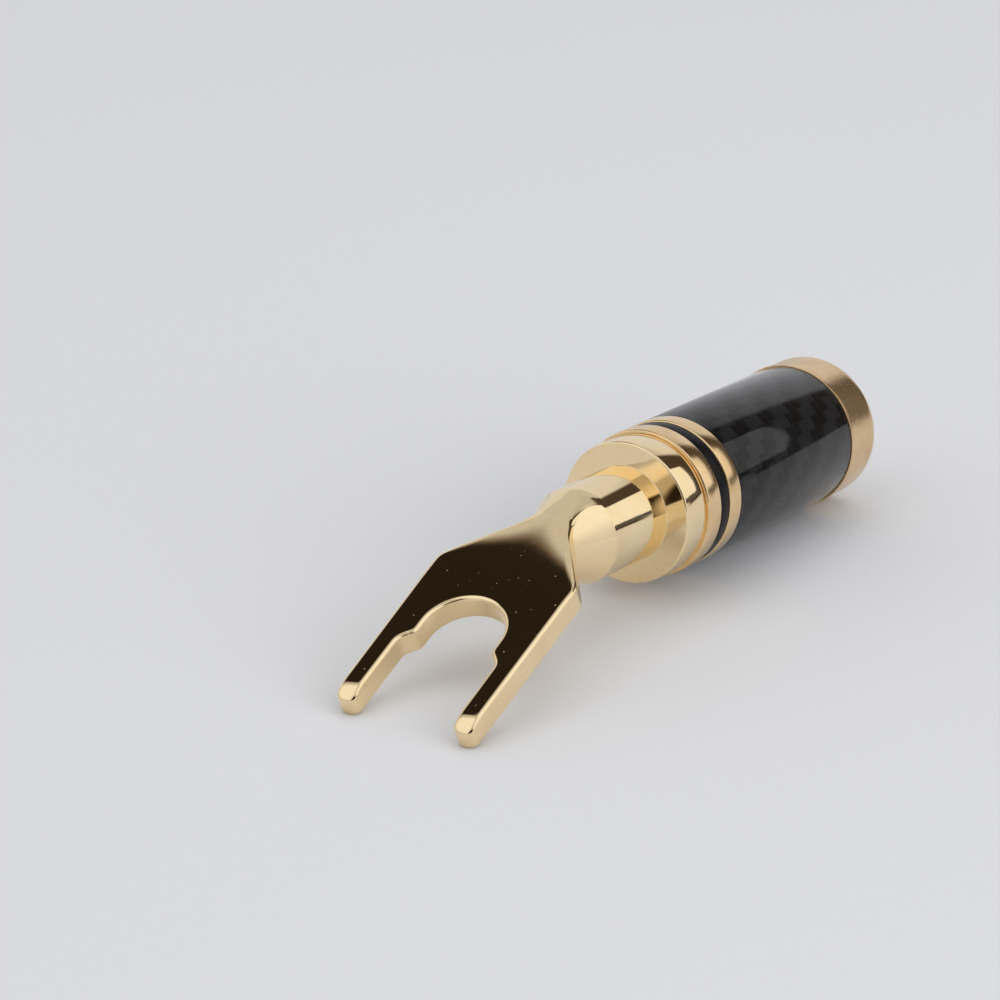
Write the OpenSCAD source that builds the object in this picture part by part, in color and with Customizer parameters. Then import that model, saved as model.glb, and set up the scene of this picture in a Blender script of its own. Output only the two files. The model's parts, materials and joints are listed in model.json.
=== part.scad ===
// Spade connector for a loudspeaker cable: a forged fork on a turned terminal, with a screw-on
// shell of gold-plated brass and carbon fibre. It lies at rest on its fork tips and its rear cap.
// Along the plug the axis runs along X, with the fork towards +X and the cable towards -X.
// Every length along the plug is counted from the front face of the terminal's flange.

/* [Fork] */
// Diameter of the round seat that goes round a binding post
seat_d = 8; // [7.6:0.1:8.4]
// Thickness of the fork's plate
plate_t = 2.4; // [2.2:0.1:2.6]
// Width over both prongs at the shoulders
fork_w = 15; // [14.6:0.1:15.6]
// Width of each prong near its tip
prong_tip_w = 2.1; // [2:0.05:2.2]
// Width between the prongs, ahead of the seat
mouth_w = 10.4; // [10:0.1:10.6]
// Length of the prongs, from the centre of the seat to the tips
prong_l = 10.6; // [9.6:0.1:12]
// Straight stretch of the seat's walls before they step out to the mouth
seat_wall_l = 1.4; // [1:0.1:1.8]
// Length of the step between the seat's walls and the mouth's walls
step_l = 1.2; // [0.8:0.1:1.6]
// Distance from the centre of the seat back to the shoulders
shoulder_back = 8; // [7.6:0.1:8.4]
// Radius of the corners of the tips, seen from above
tip_r = 0.9; // [0.6:0.05:0.95]
// Length of the slope on the upper edge of the tips
tip_slope_l = 1; // [0.6:0.1:1.4]
// Depth of the slope on the upper edge of the tips
tip_slope_h = 0.5; // [0.3:0.05:0.7]
// Width of the bevel round the upper edge of the seat and the prongs
edge_bevel = 0.3; // [0.2:0.05:0.4]

/* [Neck] */
// Slope of the fork against the plug's axis, in degrees
fork_slope = 28; // [27:0.5:29]
// Slope of the neck between the shoulders and the nose, in degrees
neck_slope = 19; // [18:0.5:20]
// Slope of the sweep that runs from the top of the rod down to the neck, in degrees
sweep_slope = 27; // [26.5:0.5:28]
// Distance of the seat's centre ahead of the flange
seat_ahead = 27.3; // [26.8:0.1:28]
// Depth of the seat's centre below the plug's axis, on the upper face
seat_drop = 3.9; // [3.7:0.05:4.1]
// Width of the neck at its narrowest
neck_w = 4; // [3.8:0.05:4.2]
// Distance from the centre of the seat back to the narrowest place
neck_back = 17.7; // [17.5:0.1:17.9]
// Radius of the curve between the neck and the shoulders
neck_r = 7; // [6.6:0.1:7.4]
// Radius of the curve behind the narrowest place, where the edge runs out on the nose
waist_r = 4; // [3.6:0.1:4.4]
// Radius of the bend between the neck and the fork, on the upper face
bend_r = 20; // [16:1:24]

/* [Terminal] */
// Diameter of the rod between the nose and the flange
rod_d = 9.2; // [9:0.1:9.4]
// Length of the rod
rod_l = 8.8; // [8.4:0.1:9.2]
// Half angle of the nose's cone, in degrees
nose_angle = 20.5; // [20:0.25:21]
// Distance from the flange to the end of the nose, inside the fork's plate
nose_end = 17; // [16.8:0.1:17.2]
// Diameter of the flange
flange_d = 13.8; // [13.4:0.1:14]
// Thickness of the flange
flange_t = 3.5; // [3:0.1:4]
// Bevel on the edges of the flange, the shell's rings and the threaded shoulder
rim_bevel = 0.2; // [0.1:0.05:0.3]
// Wall of the shell's core round the thread that carries it
thread_wall = 0.75; // [0.7:0.05:0.85]
// Length of that thread
thread_l = 5; // [4:0.5:6]
// Depth of that thread, down to the wire barrel
thread_h = 0.3; // [0.2:0.05:0.4]
// Distance from the flange's front face to the barrel's rear end
barrel_end = 26; // [24:0.5:27]
// Diameter of the hole for the bare wire
wire_d = 5; // [4.6:0.1:5.2]
// Depth of the hole for the bare wire
wire_depth = 17; // [15:0.5:18]
// Countersink at the mouth of the hole for the bare wire
wire_sink = 0.6; // [0.4:0.1:0.8]

/* [Wire screws] */
// Diameter over the thread of the wire screws
screw_d = 4; // [3.8:0.1:4.2]
// Depth of the wire screws below the barrel's surface
screw_sunk = 0.1; // [0.05:0.05:0.2]
// Length by which the open screws stay clear of the wire's hole
screw_lift = 0.1; // [0.05:0.05:0.2]
// Distance from the barrel's rear end to the nearer wire screw
screw_inset = 5; // [4:0.5:6]
// Distance between the two wire screws
screw_pitch = 6; // [5:0.5:7]
// Width over the flats of the screws' hexagon socket
hex_w = 2; // [1.8:0.1:2.2]
// Depth of that socket
hex_depth = 1.2; // [1:0.1:1.4]

/* [Shell] */
// Outer diameter of the carbon tube and of the rings before it
shell_d = 14.4; // [14.2:0.1:14.8]
// Length of the gold collar at the front of the shell
collar_l = 2.2; // [2:0.1:2.5]
// Length of the coloured ring
colour_l = 1.7; // [1.5:0.1:2]
// Length of the gold ring between the coloured ring and the carbon tube
spacer_l = 2; // [1.8:0.1:2.3]
// Length of the carbon tube
carbon_l = 21.7; // [20:0.1:24]
// Length of the rear cap
cap_l = 6; // [5.6:0.1:6.6]
// How far the lip of the rear cap stands out over the carbon tube
lip_proud = 0.1; // [0.05:0.01:0.15]
// Width of that lip
lip_l = 0.5; // [0.4:0.1:0.7]
// Radius of the rear cap's outer edge
cap_r = 1.8; // [1.4:0.1:2]
// Thickness of the rear cap's end wall
cap_wall = 1.5; // [1.2:0.1:1.8]
// Diameter of the hole for the cable
cable_d = 9.6; // [9:0.1:10]
// Wall of the rings and the carbon tube round the core tube
tube_wall = 0.9; // [0.8:0.05:0.95]
// How far the coloured ring lies below the rings beside it
colour_sunk = 0.1; // [0.05:0.05:0.2]
// Width of the gap beside the coloured ring
colour_gap = 0.1; // [0.05:0.05:0.15]

/* [Fits] */
// Radial clearance of a thread and of a screw in its hole
thread_fit = 0.05; // [0.03:0.01:0.08]
// Radial clearance of what is slid over the core tube
slide_fit = 0.03; // [0.02:0.01:0.06]
// Gap between the flange and the shell's collar
collar_gap = 0.05; // [0.03:0.01:0.1]
// Gap all round the wire barrel inside the core tube
barrel_gap = 0.2; // [0.15:0.05:0.3]

/* [Hidden] */
$fn = 96;

gold = [0.85, 0.68, 0.38];
dull_gold = [0.78, 0.58, 0.32];
steel = [0.55, 0.55, 0.57];
ring_black = [0.05, 0.05, 0.06];
carbon_black = [0.1, 0.1, 0.11];

// A little extra length, so that no cut ends on a face
over = 0.5;
// Depth by which one solid is let into the next one of the same piece
tuck = 0.01;

rod_r = rod_d / 2;
shell_r = shell_d / 2;
core_r = shell_r - tube_wall;
thread_r = core_r - thread_wall - thread_fit;
barrel_r = thread_r - thread_h;
bore_r = barrel_r + barrel_gap;
screw_l = barrel_r - screw_sunk - screw_lift - wire_d / 2;
tip_w = mouth_w + 2 * prong_tip_w;

// Stations along the plug, all behind the flange
collar_start = flange_t + collar_gap;
colour_start = collar_start + collar_l;
spacer_start = colour_start + colour_l;
carbon_start = spacer_start + spacer_l;
cap_start = carbon_start + carbon_l;
cap_end = cap_start + cap_l;
core_end = cap_end - cap_wall - collar_gap;
screw_front_x = -(barrel_end - screw_inset - screw_pitch);
screw_rear_x = -(barrel_end - screw_inset);

// The fork's own frame has its origin at the seat's centre on the upper face
function fork_x(s, n) = seat_ahead + s * cos(fork_slope) + n * sin(fork_slope);
function fork_z(s, n) = -seat_drop - s * sin(fork_slope) + n * cos(fork_slope);

// Length of the plate's plan behind the narrowest place, inside the nose
fork_root = 3;

// The bend between the fork and the neck lies just behind the shoulders
bend_gap = 0.4;
bend_back = shoulder_back + bend_gap;
bend_x = fork_x(-bend_back, 0);
bend_z = fork_z(-bend_back, 0);
bend_turn = fork_slope - neck_slope;
bend_reach = bend_r * tan(bend_turn / 2);

// Height of the upper face along the middle: rod, sweep, neck
sweep_t = tan(sweep_slope);
neck_t = tan(neck_slope);
crown_half = 0.5;
hollow_half = 0.9;
meet_x = (rod_r + rod_l * sweep_t - bend_z - bend_x * neck_t) / (sweep_t - neck_t);
flat_x = meet_x + hollow_half;
sweep_start = rod_l - crown_half;
function sweep_line(x) = rod_r - (x - rod_l) * sweep_t;
function neck_line(x) = bend_z + (bend_x - x) * neck_t;
function crown_curve(x) = rod_r - sweep_t * pow(x - sweep_start, 2) / (4 * crown_half);
function hollow_curve(x) = sweep_line(x)
    + (sweep_t - neck_t) * pow(x - meet_x + hollow_half, 2) / (4 * hollow_half);
function top_z(x) = x < sweep_start ? rod_r
    : x < rod_l + crown_half ? crown_curve(x)
    : x < meet_x - hollow_half ? sweep_line(x)
    : x < flat_x ? hollow_curve(x) : neck_line(x);

// Half of the plate's width along the curve of the neck
function neck_side(s) = neck_w / 2 + neck_r - sqrt(pow(neck_r, 2) - pow(max(0, s + neck_back), 2));

// The nose is a cone. Its edge with the upper face draws in to the neck's waist and out again.
function nose_r(x) = rod_r - tuck - max(0, x - rod_l) * tan(nose_angle);
function along_fork(x) = (x - seat_ahead) * cos(fork_slope) - (top_z(x) + seat_drop) * sin(fork_slope);
waist_x = (seat_ahead * cos(fork_slope) - neck_back
        + (rod_r + rod_l * sweep_t + seat_drop) * sin(fork_slope))
    / (cos(fork_slope) + sweep_t * sin(fork_slope));
function edge_w(x) = (x < waist_x ? neck_w / 2 + waist_r - sqrt(pow(waist_r, 2) - pow(x - waist_x, 2))
    : neck_side(along_fork(x))) - tuck;

// From the plate's start forward the cone's top lies inside the plate
plate_start = 12.4;
top_share = 0.97;
function edge_y(x) = x > plate_start ? min(edge_w(x) - tuck, top_share * nose_r(x)) : edge_w(max(x, rod_l));
function edge_z(x) = sqrt(pow(nose_r(x), 2) - pow(edge_y(x), 2));
function nose_top(x) = x > plate_start ? edge_z(x) : max(edge_z(x), min(top_z(x), nose_r(x)));
// The crown is round at the rod and flattens towards the plate
round_power = 2;
flat_power = 8;
function crown_power(x) = round_power
    + (flat_power - round_power) * max(0, x - rod_l) / (plate_start - rod_l);
function crown_z(x, y) = nose_top(x) - (nose_top(x) - edge_z(x)) * pow(abs(y) / edge_y(x), crown_power(x));

// The plug is tipped until the tips and the rear cap both touch the floor
heel_x = -(cap_end - cap_r);
heel_z = -(shell_r - cap_r);
toe_x = fork_x(prong_l, -plate_t);
toe_z = fork_z(prong_l, -plate_t);
heel_to_toe = norm([toe_x - heel_x, toe_z - heel_z]);
rest_tilt = -atan2(toe_z - heel_z, toe_x - heel_x) - asin(cap_r / heel_to_toe);
lift = -(toe_x * sin(rest_tilt) + toe_z * cos(rest_tilt));
front_x = fork_x(prong_l, -tip_slope_h) * cos(rest_tilt) - fork_z(prong_l, -tip_slope_h) * sin(rest_tilt);
rear_x = heel_x * cos(rest_tilt) + heel_z * sin(rest_tilt) - cap_r;
shift_x = -(front_x + rear_x) / 2;

module at_rest() {
    translate([shift_x, 0, lift])
        rotate([0, -rest_tilt, 0])
            children();
}

// Solid of revolution about the plug's axis, from x0 forward for a length
module turned(x0, length, r) {
    translate([x0, 0, 0])
        rotate([0, 90, 0])
            cylinder(h = length, r = r);
}

module bevelled_disc(x0, length, r, bevel) {
    translate([x0, 0, 0])
        rotate([0, 90, 0]) {
            translate([0, 0, bevel])
                cylinder(h = length - 2 * bevel, r = r);
            cylinder(h = bevel, r1 = r - bevel, r2 = r);
            translate([0, 0, length - bevel])
                cylinder(h = bevel, r1 = r, r2 = r - bevel);
        }
}

module hollow(x0, length, r) {
    turned(x0 - over, length + 2 * over, r);
}

// Points of an arc, from one angle to another
function arc(cx, cy, r, a0, a1, steps) =
    [for (i = [0 : steps]) let (a = a0 + (a1 - a0) * i / steps) [cx + r * cos(a), cy + r * sin(a)]];
function mirrored(points) = [for (i = [len(points) - 1 : -1 : 0]) [points[i][0], -points[i][1]]];

// Tangent from the shoulder to the neck's curve
neck_centre = [-neck_back, neck_w / 2 + neck_r];
shoulder = [-shoulder_back, fork_w / 2];
to_shoulder = shoulder - neck_centre;
taper_angle = atan2(to_shoulder[1], to_shoulder[0]) - acos(neck_r / norm(to_shoulder));
taper_start = neck_centre + neck_r * [cos(taper_angle), sin(taper_angle)];
root_back = neck_back + fork_root;

half_outline = concat(
    [[-root_back, neck_w / 2]],
    arc(neck_centre[0], neck_centre[1], neck_r, -90, taper_angle, 14),
    [shoulder],
    arc(prong_l - tip_r, tip_w / 2 - tip_r, tip_r, 90, 0, 8),
    arc(prong_l - tip_r, mouth_w / 2 + tip_r, tip_r, 0, -90, 8),
    [[seat_wall_l + step_l, mouth_w / 2]],
    [[seat_wall_l, seat_d / 2]]
);
slot_start = 0.3;
slot_start_y = sqrt(pow(seat_d / 2, 2) - pow(slot_start, 2)) - tuck;

// Plan of the fork, with the slot open from the seat's centre forward
module fork_plan() {
    polygon(concat(half_outline, [[slot_start, slot_start_y]],
                   [[slot_start, -slot_start_y]], mirrored(half_outline)));
}

// Side view of the plate: the hollow of the sweep, the neck, the bend and the fork
module plate_side() {
    steps = 6;
    bend_neck = [bend_x - bend_reach * cos(neck_slope), bend_z + bend_reach * sin(neck_slope)];
    bend_fork = [bend_x + bend_reach * cos(fork_slope), bend_z - bend_reach * sin(fork_slope)];
    bend_centre = bend_fork - [sin(fork_slope), cos(fork_slope)] * bend_r;
    neck_under = [sin(neck_slope), cos(neck_slope)] * plate_t;
    fork_under = [sin(fork_slope), cos(fork_slope)] * plate_t;
    tip_top = [fork_x(prong_l + over, 0), fork_z(prong_l + over, 0)];
    function on_bend(i, r) =
        let (a = neck_slope + bend_turn * i / steps) bend_centre + r * [sin(a), cos(a)];
    polygon(concat(
        [for (i = [0 : steps]) let (x = plate_start + (flat_x - plate_start) * i / steps) [x, top_z(x)]],
        [for (i = [0 : steps]) on_bend(i, bend_r)],
        [tip_top],
        [tip_top - fork_under],
        [for (i = [steps : -1 : 0]) on_bend(i, bend_r - plate_t)],
        [[plate_start, neck_line(plate_start) - plate_t / cos(neck_slope)]]
    ));
}

// Cone of the nose, swept flat on top: one ring of points for each station along the plug
module nose() {
    top_steps = 12;
    low_steps = 36;
    stations = concat(
        [rod_l - over],
        [for (i = [0 : 10]) rod_l + (plate_start - rod_l) * i / 10],
        [for (i = [1 : 8]) plate_start + (nose_end - plate_start) * i / 8]
    );
    function low_angle(x) = atan2(edge_y(x), edge_z(x));
    function ring(x) = concat(
        [for (j = [0 : top_steps]) let (y = edge_y(x) * (1 - 2 * j / top_steps)) [x, y, crown_z(x, y)]],
        [for (j = [1 : low_steps - 1])
            let (a = -low_angle(x) - (360 - 2 * low_angle(x)) * j / low_steps)
            [x, nose_r(x) * sin(a), nose_r(x) * cos(a)]]
    );
    n = top_steps + low_steps;
    last = len(stations) - 1;
    polyhedron(
        points = [for (x = stations) each ring(x)],
        faces = concat(
            [for (i = [0 : last - 1]) for (j = [0 : n - 1])
                [i * n + j, (i + 1) * n + j, (i + 1) * n + (j + 1) % n]],
            [for (i = [0 : last - 1]) for (j = [0 : n - 1])
                [i * n + j, (i + 1) * n + (j + 1) % n, i * n + (j + 1) % n]],
            [[for (j = [0 : n - 1]) j]],
            [[for (j = [n - 1 : -1 : 0]) last * n + j]]
        ),
        convexity = 4
    );
}

// Places its children in the fork's own frame
module on_fork() {
    translate([seat_ahead, 0, -seat_drop])
        rotate([0, fork_slope, 0])
            children();
}

// Bevels the upper edge that runs from p to q in the fork's plan
module edge_cut(p, q) {
    side = sqrt(2) * edge_bevel;
    translate([p[0], p[1], 0])
        rotate([0, 0, atan2(q[1] - p[1], q[0] - p[0])])
            rotate([45, 0, 0])
                translate([0, -side / 2, -side / 2])
                    cube([norm(q - p), side, side]);
}

module fork() {
    below = 7;
    above = 11;
    difference() {
        intersection() {
            translate([0, fork_w, 0])
                rotate([90, 0, 0])
                    linear_extrude(2 * fork_w)
                        plate_side();
            on_fork()
                translate([0, 0, -below])
                    linear_extrude(below + above)
                        fork_plan();
        }
        on_fork() {
            translate([0, 0, -plate_t - over])
                cylinder(h = plate_t + 2 * over, d = seat_d);
            translate([0, 0, -edge_bevel])
                cylinder(h = edge_bevel + tuck, r1 = seat_d / 2, r2 = seat_d / 2 + edge_bevel + tuck);
            // Sloping upper edge of the tips
            translate([prong_l - tip_slope_l, -fork_w / 2 - over, 0])
                rotate([0, atan2(tip_slope_h, tip_slope_l), 0])
                    cube([2 * tip_slope_l, fork_w + 2 * over, 2 * tip_slope_h]);
            for (side = [0, 1])
                mirror([0, side, 0]) {
                    edge_cut(shoulder, [prong_l, tip_w / 2]);
                    edge_cut(taper_start, shoulder);
                    edge_cut([seat_wall_l + step_l, mouth_w / 2], [prong_l, mouth_w / 2]);
                }
        }
    }
}

module fork_terminal() {
    color(gold)
        at_rest()
            difference() {
                union() {
                    turned(-tuck, rod_l + tuck, rod_r);
                    bevelled_disc(-flange_t, flange_t, flange_d / 2, rim_bevel);
                    turned(-flange_t - thread_l, thread_l + tuck, thread_r);
                    turned(-barrel_end, barrel_end - flange_t - thread_l + tuck, barrel_r);
                    nose();
                    fork();
                }
                turned(-barrel_end - over, wire_depth + over, wire_d / 2);
                translate([-barrel_end - tuck, 0, 0])
                    rotate([0, 90, 0])
                        cylinder(h = wire_sink, r1 = wire_d / 2 + wire_sink, r2 = wire_d / 2);
                for (x = [screw_front_x, screw_rear_x])
                    translate([x, 0, 0])
                        cylinder(h = barrel_r + over, d = screw_d);
            }
}

// Headless screw with a hexagon socket, flush with the barrel
module wire_screw(x) {
    top = barrel_r - screw_sunk;
    color(steel)
        at_rest()
            translate([x, 0, top - screw_l])
                difference() {
                    union() {
                        cylinder(h = rim_bevel, r1 = screw_d / 2 - thread_fit - rim_bevel,
                                 r2 = screw_d / 2 - thread_fit);
                        translate([0, 0, rim_bevel])
                            cylinder(h = screw_l - rim_bevel, r = screw_d / 2 - thread_fit);
                    }
                    translate([0, 0, screw_l - hex_depth])
                        cylinder(h = hex_depth + over, d = hex_w / cos(30), $fn = 6);
                }
}

module wire_screw_front() {
    wire_screw(screw_front_x);
}

module wire_screw_rear() {
    wire_screw(screw_rear_x);
}

// Turned core: front collar, bore with the thread, and the tube that carries the rest
module shell_core() {
    color(dull_gold)
        at_rest()
            difference() {
                union() {
                    bevelled_disc(-colour_start, collar_l, shell_r, rim_bevel);
                    turned(-core_end, core_end - colour_start + tuck, core_r);
                }
                turned(-collar_start - thread_l - over, thread_l + 2 * over, thread_r + thread_fit);
                hollow(-core_end, core_end - collar_start - thread_l, bore_r);
            }
}

module sleeve(x0, length, r_out, bevel) {
    at_rest()
        difference() {
            bevelled_disc(x0, length, r_out, bevel);
            hollow(x0, length, core_r + slide_fit);
        }
}

module colour_ring() {
    color(ring_black)
        sleeve(-spacer_start + colour_gap, colour_l - 2 * colour_gap, shell_r - colour_sunk, rim_bevel / 2);
}

module spacer_ring() {
    color(dull_gold)
        sleeve(-carbon_start, spacer_l, shell_r, rim_bevel);
}

module carbon_tube() {
    color(carbon_black)
        sleeve(-cap_start, carbon_l, shell_r, rim_bevel / 4);
}

// Rear cap: a cup with a round edge, a proud lip in front and the cable's hole behind
module rear_cap() {
    color(dull_gold)
        at_rest()
            difference() {
                union() {
                    turned(-cap_end + cap_r, cap_l - cap_r, shell_r);
                    turned(-cap_end, cap_r + tuck, shell_r - cap_r);
                    translate([-cap_end + cap_r, 0, 0])
                        rotate([0, 90, 0])
                            rotate_extrude()
                                translate([shell_r - cap_r, 0])
                                    intersection() {
                                        circle(r = cap_r);
                                        translate([0, -cap_r])
                                            square([cap_r, cap_r + tuck]);
                                    }
                    bevelled_disc(-cap_start - lip_l, lip_l, shell_r + lip_proud, lip_proud);
                }
                turned(-cap_end + cap_wall, cap_l, core_r + thread_fit);
                hollow(-cap_end, cap_l, cable_d / 2);
                translate([-cap_end - tuck, 0, 0])
                    rotate([0, 90, 0])
                        cylinder(h = wire_sink, r1 = cable_d / 2 + wire_sink, r2 = cable_d / 2);
            }
}

fork_terminal();
wire_screw_front();
wire_screw_rear();
shell_core();
colour_ring();
spacer_ring();
carbon_tube();
rear_cap();
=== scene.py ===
import json
from math import atan2, cos, pi, radians, sin, sqrt, tan

import bmesh
import bpy
from mathutils import Euler, Matrix, Vector


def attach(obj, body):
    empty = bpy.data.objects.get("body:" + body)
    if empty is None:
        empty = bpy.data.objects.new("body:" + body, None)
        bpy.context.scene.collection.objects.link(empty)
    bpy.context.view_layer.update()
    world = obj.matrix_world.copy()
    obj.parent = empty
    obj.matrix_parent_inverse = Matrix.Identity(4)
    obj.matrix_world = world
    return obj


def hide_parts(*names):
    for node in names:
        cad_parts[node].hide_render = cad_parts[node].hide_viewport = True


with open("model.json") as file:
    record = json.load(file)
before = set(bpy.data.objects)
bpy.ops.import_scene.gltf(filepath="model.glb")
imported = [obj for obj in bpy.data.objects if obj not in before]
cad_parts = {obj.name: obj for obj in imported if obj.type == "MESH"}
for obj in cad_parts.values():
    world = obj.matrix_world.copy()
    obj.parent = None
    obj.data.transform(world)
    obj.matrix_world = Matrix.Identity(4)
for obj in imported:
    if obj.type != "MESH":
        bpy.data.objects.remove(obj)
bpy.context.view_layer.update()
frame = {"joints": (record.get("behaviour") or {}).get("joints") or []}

# The rear half of the terminal: rod, flange, threaded shoulder and wire barrel turned from one brass
# bar, bored from behind and gold plated. Sizes are in millimetres and places count from the flange's
# front face, with the cable towards -X. The slide of the shell says how the plug lies.
mm = 0.001
slide_x = -20.35
shell_r = 7.2
rod_r = 4.6
rod_foot = 0.08
nose_start = 8.8
crown_start = 8.3
flange_r = 6.9
flange_l = 3.5
flange_edge = 0.22
shoulder_end = 8.5
thread_crest = 5.48
thread_root = 5.12
thread_pitch = 0.75
thread_rows = 72
thread_fade = 0.4
thread_relief = 0.3
tooth_peak = 1.3
tooth_flank = 3.2
same_r = 0.001
barrel_r = 5.2
barrel_end = 26.0
barrel_edge = 0.15
fine_edge = 0.05
wire_r = 2.5
wire_end = 9.0
wire_flare = 0.6
drill_point = 1.2
axis_r = 0.02
screw_r = 2.0
screw_hole_low = 0.3
screw_hole_high = barrel_r + 1
screw_places = {"wire_screw_front": -15.0, "wire_screw_rear": -21.0}
turned_sharp_angle = 32

slide = next(j for j in frame["joints"] if j["name"] == "shell_slide")
along = -Vector(slide["axis"]).normalized()
upward = along.cross(Vector((0, 1, 0))).normalized()
plug_turn = Matrix((along, upward.cross(along), upward)).transposed()
plug_place = Matrix.Translation(Vector(slide["pos_m"]) - along * slide_x * mm) @ plug_turn.to_4x4()


def rounded(corners, steps=4):
    """Side view of a turned piece, from corners given as x, radius and the rounding there"""
    outline = []
    for i, (x, r, rounding) in enumerate(corners):
        here = Vector((x, r))
        if not rounding:
            outline.append(here)
            continue
        back = (Vector(corners[i - 1][:2]) - here).normalized()
        on = (Vector(corners[(i + 1) % len(corners)][:2]) - here).normalized()
        half = back.angle(on) / 2
        middle = here + (back + on).normalized() * rounding / sin(half)
        start = here + back * rounding / tan(half) - middle
        end = here + on * rounding / tan(half) - middle
        first = atan2(start.y, start.x)
        sweep = (atan2(end.y, end.x) - first + pi) % (2 * pi) - pi
        for k in range(steps + 1):
            a = first + sweep * k / steps
            outline.append(middle + Vector((cos(a), sin(a))) * rounding)
    return outline


def add_object(name, data):
    """A new object in the scene, from a mesh, a lamp or a camera"""
    made = bpy.data.objects.new(name, data)
    bpy.context.scene.collection.objects.link(made)
    return made


def mesh_from(name, work):
    """A new mesh from what was built up in work"""
    mesh = bpy.data.meshes.new(name)
    work.to_mesh(mesh)
    work.free()
    return mesh


def piece_from(name, work, edge_angle=turned_sharp_angle):
    """Lays a finished mesh where the plug lies, and shades it smooth up to its real edges"""
    bmesh.ops.recalc_face_normals(work, faces=work.faces)
    work.transform(plug_place @ Matrix.Scale(mm, 4))
    mesh = mesh_from(name, work)
    mesh.shade_smooth()
    mesh.set_sharp_from_angle(angle=radians(edge_angle))
    return add_object(name, mesh)


def turn(name, outline, around=160, cut=None):
    """Turns a closed side view about the plug's axis. cut(x, r, share of a turn) gives a new radius."""
    work = bmesh.new()
    rings = []
    for k in range(around):
        a = 2 * pi * k / around
        ring = []
        for x, r in outline:
            depth = cut(x, r, k / around) if cut else r
            ring.append(work.verts.new((x, depth * sin(a), depth * cos(a))))
        rings.append(ring)
    grain = work.loops.layers.uv.new("grain")
    grain_step = 2 * pi * shell_r / around
    for k in range(around):
        near, far = rings[k], rings[(k + 1) % around]
        for i in range(len(outline)):
            j = (i + 1) % len(outline)
            face = work.faces.new((near[i], near[j], far[j], far[i]))
            spots = ((k, i), (k, j), (k + 1, j), (k + 1, i))
            for loop, (turned, place) in zip(face.loops, spots):
                loop[grain].uv = (turned * grain_step, outline[place][0])
    return piece_from(name, work)


def set_in(piece):
    """Keeps the shape that the piece's modifiers give it"""
    bpy.context.view_layer.update()
    shaped = piece.evaluated_get(bpy.context.evaluated_depsgraph_get())
    mesh = bpy.data.meshes.new_from_object(shaped)
    piece.modifiers.clear()
    piece.data = mesh


def drill(piece, x, radius, low, high):
    """Drills a hole across the axis, at x, between two heights"""
    work = bmesh.new()
    bmesh.ops.create_cone(work, cap_ends=True, segments=64, radius1=radius, radius2=radius, depth=high - low)
    bmesh.ops.translate(work, vec=(x, 0, (high + low) / 2), verts=work.verts)
    bit = piece_from("bit", work)
    hole = piece.modifiers.new("hole", "BOOLEAN")
    hole.operation = "DIFFERENCE"
    hole.object = bit
    hole.solver = "EXACT"
    set_in(piece)
    bpy.data.objects.remove(bit)


def tooth(phase):
    """Height of a V thread within one pitch, from 0 at its root to 1 at its crest"""
    return min(1, max(0, tooth_peak - abs(phase - 0.5) * tooth_flank))


def thread_r(x, turned, root, crest, rear, front):
    """Radius of a V thread at one place, running out at both of its ends"""
    run_out = max(0, min(1, (x - rear) / thread_fade, (front - x) / thread_fade))
    return root + (crest - root) * tooth((x / thread_pitch - turned) % 1) * run_out


def thread_line(first, last, root):
    """Points for a thread to be cut into, between two places along the plug"""
    return [(first + (last - first) * i / thread_rows, root, 0) for i in range(1, thread_rows)]


def shoulder_thread(x, r, turned):
    """Cuts the thread into the shoulder and leaves the rest of the bar as it is"""
    if abs(r - thread_root) < same_r and -shoulder_end < x < -flange_l:
        return thread_r(x, turned, thread_root, thread_crest, -shoulder_end, -flange_l - thread_relief)
    return r


terminal_bar = turn("terminal_bar", rounded([
    (crown_start, axis_r, 0),
    (crown_start, rod_r, 0),
    (0, rod_r, rod_foot),
    (0, flange_r, flange_edge),
    (-flange_l, flange_r, flange_edge),
    (-flange_l, thread_root, 0),
    *thread_line(-flange_l, -shoulder_end, thread_root),
    (-shoulder_end, thread_root, 0),
    (-shoulder_end - (barrel_r - thread_root), barrel_r, 0),
    (-barrel_end, barrel_r, barrel_edge),
    (-barrel_end, wire_r + wire_flare, fine_edge),
    (-barrel_end + wire_flare, wire_r, 0),
    (-wire_end, wire_r, 0),
    (-wire_end + drill_point, axis_r, 0)]), around=192, cut=shoulder_thread)
for x in screw_places.values():
    drill(terminal_bar, x, screw_r, screw_hole_low, screw_hole_high)
terminal_bar.data.set_sharp_from_angle(angle=radians(turned_sharp_angle))


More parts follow.
